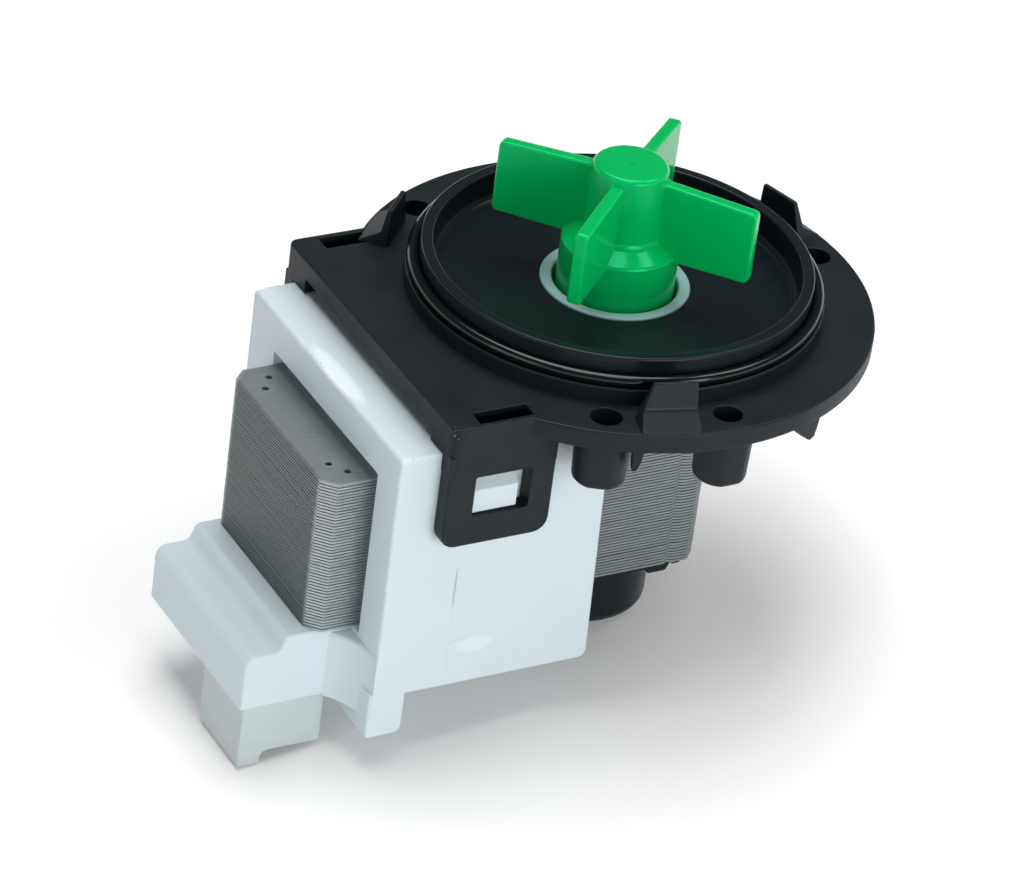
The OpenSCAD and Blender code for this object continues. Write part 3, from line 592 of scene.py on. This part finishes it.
def flange_turned():
    """The rim, the dished floor and the rotor can in one turned profile."""
    can_r, can_low, low, foot_r = 11.95, -56.5, 0.02 - FLANGE_T, RIM_FOOT_R - 0.4
    return revolved_corners(
        [(0, can_low, 0), (can_r, can_low, 2), (can_r, -12.95, 0.4), (13.4, -11.5, 0.3),
         (13.4, low, 0.4), (16, low, 0.4), (16, -0.6, 0.4), (28.1, -0.6, 0.4), (28.1, low, 0.4),
         (foot_r, low, 0), (foot_r, -1.7, 0), (RIM_FOOT_R, -1.7, 0), (RIM_FOOT_R, 2.7, 0.3),
         (RIM_R, 2.7, 0.2), (RIM_R, 7.1, 0.4), (29.4, 7.1, 0.4), (29.4, 2, 1.4), (12.07, 2, 0.12),
         (12.07, -9.5, 0), (10.7, -9.5, 0), (10.7, -49.8, 0), (5.64, -49.8, 0), (5.64, -54.7, 0),
         (0, -54.7, 0)], 6, 256)


def flange_plate():
    """The flange and the wing in one plan, with the screw holes and the slots above the clips."""
    meet = math.degrees(math.pi - math.asin(WING_Y / FLANGE_R))
    ring = arc(0, 0, FLANGE_R - FLUSH, -meet, meet, 220)
    line = np.vstack([ring, [[-WING_X, WING_Y], [-WING_X, -WING_Y]]])
    outline = rounded_loop(line, [0] * len(ring) + [1.5, 1.5])
    slot = rounded_loop(rect(SLOT_X[0], SLOT_Y[0], SLOT_X[1], SLOT_Y[1]), 0.2)
    holes = [circle(*arc(0, 0, SCREW_CIRCLE_R, angle, angle, 1)[0], r) for angle, r in SCREWS]
    return plate([outline, circle(0, 0, 33, 220), slot, slot * [1, -1], *holes], -FLANGE_T, 0,
                 FLANGE_EDGE, FLANGE_EDGE)


def screw_boss(angle, hole_r):
    """A boss under a screw hole: a circle cut off by the flange's edge, a little slimmer at its
    end. The two circles meet at x, y, and the angles to there end the outline's two arcs."""
    reach, boss_r, length = FLANGE_R - FLANGE_EDGE, 4.5, 7.8
    x = (SCREW_CIRCLE_R ** 2 + reach ** 2 - boss_r ** 2) / (2 * SCREW_CIRCLE_R)
    y = math.sqrt(reach ** 2 - x ** 2)
    side, rim = math.degrees(math.atan2(y, x - SCREW_CIRCLE_R)), math.degrees(math.atan2(y, x))
    outline = np.vstack([arc(SCREW_CIRCLE_R, 0, boss_r, side, 360 - side, 44),
                         arc(0, 0, reach, -rim, rim, 5)[1:-1]])
    points, faces = plate([outline, circle(SCREW_CIRCLE_R, 0, hole_r)], -FLANGE_T - length,
                          0.1 - FLANGE_T, 0.9, 0)
    slim = 1 + 0.06 * (points[:, 2:] + FLANGE_T) / length
    points[:, :2] = (points[:, :2] - [SCREW_CIRCLE_R, 0]) * slim + [SCREW_CIRCLE_R, 0]
    return turned((points, faces), angle)


def ramp(angle):
    """A locating ramp: its side view carried along its width; its ends lean out to the foot."""
    height, half_w, slant, lean = 6.5, 3.55, 2.2, 0.4
    line = [(36.5, -0.4), (41.5, -0.4), (41.5, 0), (38.1, 2.2), (37.3, height), (36.5, height)]
    side = rounded_loop(line, [0, 0, 0, 1, 0.35, 0.35])
    points, faces = along_y(plate([side], -half_w, half_w, 0.25, 0.25))
    share = points[:, 1] / half_w * (1 - points[:, 2] / height)
    points[:, 1] += np.where(share < 0, slant, lean) * share
    return turned((points, faces), angle)


def edge_tooth(outline):
    """A tooth under the flange's edge, from angles and depths, bent round the flange."""
    line = np.radians([[angle, 0] for angle, depth in outline]) * FLANGE_R
    line[:, 1] = [-depth for angle, depth in outline]
    shell = plate([line], FLANGE_R - 2, FLANGE_R - 2 * FLUSH, 0, 0.3)
    return moved(shell, lambda p: np.stack([p[:, 2] * np.cos(p[:, 0] / FLANGE_R),
                                            p[:, 2] * np.sin(p[:, 0] / FLANGE_R), p[:, 1]], -1))


def pole_ledge():
    """A ledge under one pole, whose inner end follows the rotor can."""
    top, inner_r, reach = CORE_LOW - 0.05, 11.3, 16.9
    line = [(-6, 0), (9.2, 0), (9.2, 0.6), (7.7, 0.6), (7.5, 0.25), (7.3, 0.4), (6.6, 1.6),
            (3.2, 1.6), (3.2, 0.8), (-6, 0.8)]
    radii = [0, 0, 0.25, 0.25, 0, 0, 0.5, 0.4, 0, 0]
    side = rounded_loop(np.array([0, top]) + np.array(line) * [1, -1], radii)
    points, faces = along_y(plate([side], 0, reach, 0, 0))
    inner = points[:, 1] == 0
    points[inner, 1] = np.sqrt(inner_r ** 2 - points[inner, 0] ** 2)
    return points, faces


def wing_side():
    """One side of the wing: the rail on the housing, the ridge, the snap clip and its window."""
    outer, side, rail_y, clip_y = FLUSH - WING_X, WING_Y - FLUSH, 26.5, 26.4
    (slot_0, slot_1), (slot_in, slot_out) = SLOT_X, SLOT_Y
    rail_low, ridge_low, foot_low, buried = HOUSING_TOP, -6.9, -8.7, -1
    rail = [(outer, 22.3), (-16, 22.3), (-16, rail_y), (slot_1, rail_y), (slot_1, slot_in),
            (slot_0, slot_in), (slot_0, rail_y), (outer, rail_y)]
    ridge = [(outer, clip_y), (slot_0, clip_y), (slot_0, slot_out), (slot_1, slot_out),
             (slot_1, clip_y), (CLIP_X, clip_y), (CLIP_X, side), (outer, side)]
    foot = rounded_loop(rect(outer, clip_y, CLIP_X, side), [0, 0, 0.4, 1.5])
    clip = rounded_loop(rect(outer + FLUSH, -21.8, CLIP_X, -5), [2.5, 2.5, 0, 0])
    window = rounded_loop(rect(-38.4, -16.5, -28.7, -9.4), 0.3)
    return [plate([rail], rail_low, buried, 0.3, 0),
            plate([rounded_loop(ridge, [0, 0, 0, 0, 0, 0, 0.4, 1.5])], ridge_low, buried),
            plate([foot], foot_low, ridge_low, 0.35, 0),
            along_y(plate([clip, window], clip_y, 29.3, 0.3, 0.35, 0.2))]


def flange_shells():
    """All closed shells of the black moulding."""
    ramps = [ramp(15.6 + 120 * i) for i in range(3)]
    bosses = [screw_boss(angle, hole_r) for angle, hole_r in SCREWS]
    teeth = [edge_tooth([(-78, 1.7), (-69.5, 6.7), (-67.9, 6.4), (-66.2, 1.7)]),
             edge_tooth([(-114, 1.7), (-113.4, 6.8), (-112.4, 6.7), (-111.8, 5.6), (-110.7, 1.7)])]
    return [flange_turned(), flange_plate(), *ramps, *bosses, *teeth,
            *both_sides([pole_ledge(), *wing_side()])]


def cap_shell():
    """The bearing cap: a ring with a deep inner step."""
    inner_r, step_r, outer_r, low, step, top = 5.64, 10.1, 12.05, -9.48, -3.4, 2.3
    return revolved_corners([(inner_r, low, 0), (outer_r, low, 0.2), (outer_r, top, 0.3),
                             (step_r, top, 0.4), (step_r, step, 0.3), (inner_r, step, 0)])


def seal_shell():
    """A ring with a round section."""
    seal_r = 0.95
    return revolved(circle(RIM_R + 0.02 + seal_r, 2.72 + seal_r, seal_r, 24), 256)


# The impeller


def hub_shell(top):
    """Hub and skirt in one turned profile, with the hollow for the drive and the shaft's hole."""
    shaft_r, hollow_r, skirt_r, low, hollow_top = 2.04, 8, 9.5, -2.6, 8
    return revolved_corners(
        [(0, 17.5, 0), (shaft_r, 17.5, 0), (shaft_r, hollow_top, 0.2), (hollow_r, hollow_top, 0.3),
         (hollow_r, low, 0), (skirt_r, low, 0.25), (skirt_r, 9.7, 0.9), (6.5, 11.8, 1.6),
         (6.06, top, 0.85), (0, top, 0)], 8, 128)


def blade_shell(angle, edge):
    """A blade in sections along its length, each a rounded rectangle. Near the hub the half
    thickness and the height swell along a quarter circle; at the tip the height and the thickness
    shrink along one."""
    root, swell, corner, half_t, low = 5.6, 1.1, 0.9, 1.1, 8.8
    x = np.concatenate([[4.5], root + swell * np.linspace(0, 1, 9) ** 1.5, np.linspace(8, 20, 5),
                        BLADE_R - corner + corner * np.sin(np.linspace(0, np.pi / 2, 12))])

    def quarter(along, r):
        """The rise of a quarter circle, which starts level, at a way along it."""
        return r - np.sqrt(np.maximum(r * r - np.clip(along, 0, r) ** 2, 0))

    flare = quarter(root + swell - x, swell)
    tip_z = quarter(x - (BLADE_R - corner), corner)
    tip_t = quarter(x - (BLADE_R - edge), edge)
    high = 22.1 - 0.8 * (x - 5.3) / (BLADE_R - 5.3) + 0.6 * flare  # falls by 0.8 to the tip
    half = half_t + flare - tip_t
    turn = np.radians(np.concatenate([np.linspace(0, 90, 5) + q * 90 for q in range(4)]))
    right, above = np.repeat([1, -1, -1, 1], 5), np.repeat([1, 1, -1, -1], 5)
    y = right * (half - edge)[:, None] + edge * np.cos(turn)
    top, bottom = (high - tip_z - edge)[:, None], (low + tip_z + edge)[:, None]
    z = np.where(above > 0, top, bottom) + edge * np.sin(turn)
    return turned(lofted(np.stack([x[:, None] + 0 * y, y, z], -1)), angle)


def stop_rib():
    """The rib in the hub's hollow that the rubber pads lie against."""
    inner_r, outer_r, first, last, low, top = 4.2, 8.2, 154, 206, -0.88, 8.2
    line = np.vstack([arc(0, 0, outer_r, first, last, 16), arc(0, 0, inner_r, last, first, 16)])
    return plate([line], low, top)


def impeller_shells(edge):
    """Hub, blades, inner rib and the small raised cross on the hub's top."""
    mark_h, blade_angle, mark_angle = 0.04, 41.2, 25
    blades = [blade_shell(blade_angle + 90 * i, edge) for i in range(4)]
    mark = [plate([rounded_loop(rect(-a, -b, a, b), 0.1)], HUB_TOP - 2 * mark_h, HUB_TOP, 0, 0.03)
            for a, b in ((0.9, 0.16), (0.16, 0.9))]
    return [hub_shell(HUB_TOP - mark_h), *blades, stop_rib(),
            *[turned(shell, mark_angle) for shell in mark]]


# The white housing and the connector socket


def terminal_block(edge):
    """Side view of the terminal block: an upper shelf, a slope and a lower shelf."""
    inner, outer, high_shelf, low_shelf = -49.2, -68.2, -42.3, -45.25
    line = [(inner, BLOCK_LOW), (inner, high_shelf), (-61.3, high_shelf), (-62.5, low_shelf),
            (outer, low_shelf), (outer, BLOCK_LOW)]
    side = rounded_loop(line, [0, 0, 1, 1.4, 2, 0], 6)
    return along_y(plate([side], -BLOCK_Y, BLOCK_Y, edge, edge))


def corner_flare(edge):
    """Plan of the concave flare from the block's side to the frame's corner: an arc whose centre
    lies level with the housing's side."""
    back_x, flare_r = 49.2, 13.28
    line = np.vstack([[(back_x, 16), (54, 16)],
                      arc(FRAME_X + flare_r, HOUSING_Y, flare_r, 224.4, 180, 12),
                      [(back_x, HOUSING_Y - FLUSH)]])
    return plate([line * [-1, 1]], BLOCK_LOW + FLUSH, -43, 0, edge)


def latch():
    """The wedge that a clip snaps over: its side view in Y and Z."""
    buried, crest, low, top = 25.3, 28.6, -16.4, -9.8
    line = rounded_loop([(buried, low), (crest, low), (crest, -12.3), (HOUSING_Y, top),
                         (buried, top)], [0, 0.3, 0.4, 0, 0])
    return along_x(plate([line], 30.4, 38.3, 0.2, 0.2))


def mould_marks():
    """The faint witness line and the low patch that the mould's slide leaves on the coil box."""
    proud = 0.05
    line = rounded_loop(rect(-37.95, -40, -37.75, -25), 0.08)
    patch = rounded_loop(rect(-37.9, -48.6, -31, -42), 0.9)
    return [along_y(plate([shape], -HOUSING_Y - proud, 1 - HOUSING_Y, 0.06))
            for shape in (line, patch)]


def housing_shells(edge):
    """Frame, coil box, foot, terminal block, flares, latches and mould marks."""
    opening = rounded_loop(rect(-19.4, CORE_LOW, 17.55, -12.5), [0, 0, 0.4, 0.4])
    end = rounded_loop(rect(-HOUSING_Y, HOUSING_LOW - 1.5, HOUSING_Y, HOUSING_TOP), [0, 0, 1, 1])
    seam = 47.6
    start = -seam - edge
    top = HOUSING_TOP - FLUSH
    box = rounded_loop([(start, HOUSING_LOW), (-12, HOUSING_LOW), (-13.3, top), (start, top)],
                       [0, 1.4, 0.9, 0])
    foot = rounded_loop(rect(-50.7, -58.1, -44.3, HOUSING_LOW + 1), [0.8, 1.4, 0, 0])
    return [along_x(plate([end, opening], seam - FLUSH, FRAME_X, 0, edge)),
            along_y(plate([box], -HOUSING_Y, HOUSING_Y, edge, edge)),
            along_y(plate([foot], FLUSH - HOUSING_Y, HOUSING_Y - FLUSH, edge, edge)),
            terminal_block(edge), *both_sides([corner_flare(edge), latch()]), *mould_marks()]


def socket_shells(edge):
    """Four walls, a floor and the neck; the mouth is notched but for a corner towards -X."""
    left, right, front, back, low = -67.6, -53.4, -16.7, -2.5, -66.2
    wall, notch, top = 1.2, -64.0, -54.9
    side = rounded_loop([(left, low), (left + SOCKET_FOOT, low), (left + SOCKET_FOOT, notch),
                         (right, notch), (right, top), (left, top)], [0.45, 0.6, 1.2, 0.45, 0, 0])
    end = rounded_loop(rect(front + FLUSH, low, back - FLUSH, top), [0.45, 0.45, 0, 0])
    far = rounded_loop(rect(front + FLUSH, notch, back - FLUSH, top), [0.45, 0.45, 0, 0])
    return [along_y(plate([side], front, front + wall, edge, edge)),
            along_y(plate([side], back - wall, back, edge, edge)),
            along_x(plate([end], -left - wall, -left - FLUSH, edge, edge)),
            along_x(plate([far], -right + FLUSH, -right + wall, edge, edge)),
            plate([rect(left + 0.5, front + 0.5, right - 0.5, back - 0.5)], -56, top),
            plate([rect(left + 1.4, front + 1.4, right - 1.4, back - 1.4)], top - 0.1, -48)]


# The stamped sheets of the core


def sheet_outline():
    """One sheet in plan, in order round its edge: the yoke, two legs with cut corners and a groove,
    and on each leg's inner side the arc where the rotor's bore cuts it."""
    bore_r, leg_in, leg_out, cut, back, tip, yoke_in = 12.35, 7.4, 17.4, 2.2, -57.8, 12.3, -47.3
    bore_angle = math.degrees(math.asin(leg_in / bore_r))
    line = [(back, 0), (back, leg_out - cut), (back + cut, leg_out), (5.8, leg_out),
            (6.5, leg_out - 0.35), (7.4, leg_out), (tip - cut, leg_out), (tip, leg_out - cut),
            (tip, leg_in), (5, leg_in)]
    upper = rounded_loop(line, [0, 0.4, 0.4, 0, 0, 0, 1.4, 1.4, 0.3, 0])[1:-1]
    bore = arc(0, 0, bore_r, bore_angle, 180 - bore_angle, 30)
    half = np.vstack([upper, bore, [(yoke_in, leg_in)]])
    return np.vstack([half, (half * [1, -1])[::-1]])


def sheet_stack(finish):
    """Plates of the sheet's outline, one above another, each drawn in by its own random share of a
    small distance; the top one has four dimples."""
    outline = turned_left(sheet_outline())
    count, gap, shift = finish.sheet_count, finish.sheet_gap / MM, finish.sheet_shift / MM
    pitch = CORE_H / count
    rng = np.random.default_rng(7)
    dimples = [circle(x, side * y, 0.55, 20)
               for side in (1, -1) for x, y in ((-54.4, 11.3), (-52.5, 14.1))]
    shells = []
    for k in range(count):
        low = CORE_LOW + k * pitch
        holes = dimples if k == count - 1 else []
        shells.append(plate([inset(outline, shift * rng.random()), *holes], low, low + pitch - gap))
    return shells


# Operators, one for each piece or group of like pieces


class PUMP_OT_materials(bpy.types.Operator):
    """Build the pump's finishes and give them to the frame's own pieces"""
    bl_idname = "pump.materials"
    bl_label = "Finishes"

    def execute(self, context):
        build_materials(context.scene.pump_finish)
        slots = {row["node"]: row["material_slot"] for row in frame["record"]["subparts"]}
        for name, node in frame["nodes"].items():
            node.data.materials.clear()
            node.data.materials.append(MATERIALS[slots[name]])
        return {"FINISHED"}


class PUMP_OT_flange(bpy.types.Operator):
    """Add the black flange with its clips and can, the seal ring and the bearing cap"""
    bl_idname = "pump.flange"
    bl_label = "Flange, seal and cap"

    def execute(self, context):
        new_piece("flange_moulding", flange_shells(), "black_plastic", "root", "flange_housing")
        new_piece("seal_ring", [seal_shell()], "seal_rubber", "root", "spigot_seal")
        new_piece("bearing_cap_moulding", [cap_shell()], "cap_plastic", "root", "bearing_cap")
        return {"FINISHED"}


class PUMP_OT_impeller(bpy.types.Operator):
    """Add the green impeller with its four flat blades"""
    bl_idname = "pump.impeller"
    bl_label = "Impeller"

    def execute(self, context):
        edge = context.scene.pump_finish.blade_edge / MM
        new_piece("impeller_moulding", impeller_shells(edge), "green_plastic", "impeller",
                  "impeller")
        return {"FINISHED"}


class PUMP_OT_housing(bpy.types.Operator):
    """Add the white stator housing and the connector socket"""
    bl_idname = "pump.housing"
    bl_label = "Housing and socket"

    def execute(self, context):
        edge = context.scene.pump_finish.edge_radius / MM
        new_piece("housing_moulding", housing_shells(2 * edge), "white_plastic", "root",
                  "stator_housing")
        new_piece("socket_moulding", socket_shells(edge), "socket_plastic", "root",
                  "connector_socket")
        return {"FINISHED"}


class PUMP_OT_core(bpy.types.Operator):
    """Add the stack of stamped sheets"""
    bl_idname = "pump.core"
    bl_label = "Core sheets"

    def execute(self, context):
        new_piece("core_sheets", sheet_stack(context.scene.pump_finish), "steel_sheets", "root",
                  "core_pack")
        return {"FINISHED"}


# The stage


def view_axes(stage):
    """The camera's right, up and backward directions, with its roll."""
    azimuth, elevation = stage.azimuth, stage.elevation
    out = Vector((math.cos(azimuth) * math.cos(elevation), math.sin(azimuth) * math.cos(elevation),
                  math.sin(elevation)))
    right = (-out).cross(Vector((0, 0, 1))).normalized()
    up = right.cross(-out)
    turn = stage.roll
    return (right * math.cos(turn) + up * math.sin(turn),
            up * math.cos(turn) - right * math.sin(turn), out)


def add_camera(stage):
    """The photograph's view, as the edges of the flange and the housing give it."""
    right, up, out = view_axes(stage)
    data = bpy.data.cameras.new("camera")
    data.sensor_fit = "HORIZONTAL"
    data.sensor_width = 36.0
    data.lens = stage.focal_px * data.sensor_width / stage.image_width
    data.clip_start, data.clip_end = 0.05, 20.0
    camera = bpy.data.objects.new("camera", data)
    turned = Matrix((right, up, out)).transposed().to_4x4()
    camera.matrix_world = Matrix.Translation(Vector(stage.target) + out * stage.distance) @ turned
    bpy.context.scene.collection.objects.link(camera)
    bpy.context.scene.camera = camera


def add_lamp(name, place, width, height, power):
    """A soft rectangular lamp at a place, aimed at the pump."""
    data = bpy.data.lights.new(name, "AREA")
    data.shape, data.size, data.size_y, data.energy = "RECTANGLE", width, height, power
    lamp = bpy.data.objects.new(name, data)
    turn = (Vector(place) - Vector(LAMP_AIM)).to_track_quat("Z", "Y")
    lamp.matrix_world = Matrix.Translation(place) @ turn.to_matrix().to_4x4()
    bpy.context.scene.collection.objects.link(lamp)


def add_floor(stage):
    """A round table top through the socket's mouth and the can's lower edge. To the camera and in
    reflections a glow lifts it to white, and it is all white from some distance on."""
    radius, steps, below = 3.0, 96, 0.1
    near, far = 0.3, 0.8
    turn = np.linspace(0, 2 * np.pi, steps, endpoint=False)
    x, y = radius * np.cos(turn), radius * np.sin(turn)
    foot_x = SOCKET_LOW[0] + SOCKET_FOOT * MM
    z = SOCKET_LOW[2] + math.tan(stage.floor_tilt) * (x - foot_x) - below * MM
    mesh = bpy.data.meshes.new("floor")
    mesh.from_pydata(np.column_stack([x, y, z]).tolist(), [], [list(range(steps))])
    floor = bpy.data.objects.new("floor", mesh)
    bpy.context.scene.collection.objects.link(floor)
    made, tree, shader, place = blank_material("table_top", (0.92, 0.92, 0.92), 0.9,
                                               Specular_IOR_Level=0.0)
    level = ranged(tree, vector(tree, "LENGTH", place), near, far, stage.floor_glow, 1.0,
                   "SMOOTHSTEP")
    glow = add(tree, "ShaderNodeEmission", {"Color": (1, 1, 1, 1), "Strength": level}).outputs[0]
    both = add(tree, "ShaderNodeAddShader", {0: shader.outputs[0], 1: glow}).outputs[0]
    path = add(tree, "ShaderNodeLightPath").outputs
    seen = computed(tree, "MAXIMUM", path["Is Camera Ray"], path["Is Glossy Ray"])
    seen = computed(tree, "MAXIMUM", seen, path["Is Transmission Ray"])
    mix = add(tree, "ShaderNodeMixShader", {0: seen, 1: shader.outputs[0], 2: both})
    tree.links.new(mix.outputs[0], tree.nodes["Material Output"].inputs["Surface"])
    mesh.materials.append(made)


def add_world(stage):
    """Soft studio light, brightest round the horizon and dimmer overhead."""
    world = bpy.data.worlds.new("studio")
    bpy.context.scene.world = world
    world.use_nodes = True
    tree = world.node_tree
    back = tree.nodes["Background"]
    back.inputs["Color"].default_value = (1.0, 1.0, 1.0, 1.0)
    place = add(tree, "ShaderNodeTexCoord").outputs["Generated"]
    height = add(tree, "ShaderNodeSeparateXYZ", {"Vector": place}).outputs["Z"]
    level = ranged(tree, height, 0.1, 0.3, stage.horizon, stage.sky, "SMOOTHSTEP")
    tree.links.new(level, back.inputs["Strength"])


class PUMP_OT_stage(bpy.types.Operator):
    """Add the floor, the soft studio light and the camera"""
    bl_idname = "pump.stage"
    bl_label = "Stage"

    def execute(self, context):
        stage = context.scene.pump_stage
        context.scene.view_settings.view_transform = "Standard"
        add_camera(stage)
        add_floor(stage)
        add_world(stage)
        for name, *lamp in LAMPS:
            add_lamp(name, *lamp, getattr(stage, name))
        return {"FINISHED"}


class PUMP_PT_panel(bpy.types.Panel):
    """Lists the pump's operators and settings"""
    bl_label = "Drain Pump"
    bl_idname = "PUMP_PT_panel"
    bl_space_type = "VIEW_3D"
    bl_region_type = "UI"
    bl_category = "Drain Pump"

    def draw(self, context):
        for kind in OPERATORS:
            self.layout.operator(kind.bl_idname)
        for group in (context.scene.pump_finish, context.scene.pump_stage):
            for name in group.__annotations__:
                self.layout.prop(group, name)


OPERATORS = (PUMP_OT_materials, PUMP_OT_flange, PUMP_OT_impeller, PUMP_OT_housing, PUMP_OT_core,
             PUMP_OT_stage)
CLASSES = (DrainPumpFinish, DrainPumpStage, *OPERATORS, PUMP_PT_panel)


def register():
    """Adds the classes and the settings to Blender."""
    for kind in CLASSES:
        bpy.utils.register_class(kind)
    bpy.types.Scene.pump_finish = PointerProperty(type=DrainPumpFinish)
    bpy.types.Scene.pump_stage = PointerProperty(type=DrainPumpStage)


def unregister():
    """Takes them out again."""
    del bpy.types.Scene.pump_stage
    del bpy.types.Scene.pump_finish
    for kind in reversed(CLASSES):
        bpy.utils.unregister_class(kind)


def main():
    """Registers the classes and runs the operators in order."""
    register()
    for kind in OPERATORS:
        group, name = kind.bl_idname.split(".")
        getattr(getattr(bpy.ops, group), name)()


if __name__ == "__main__":
    main()
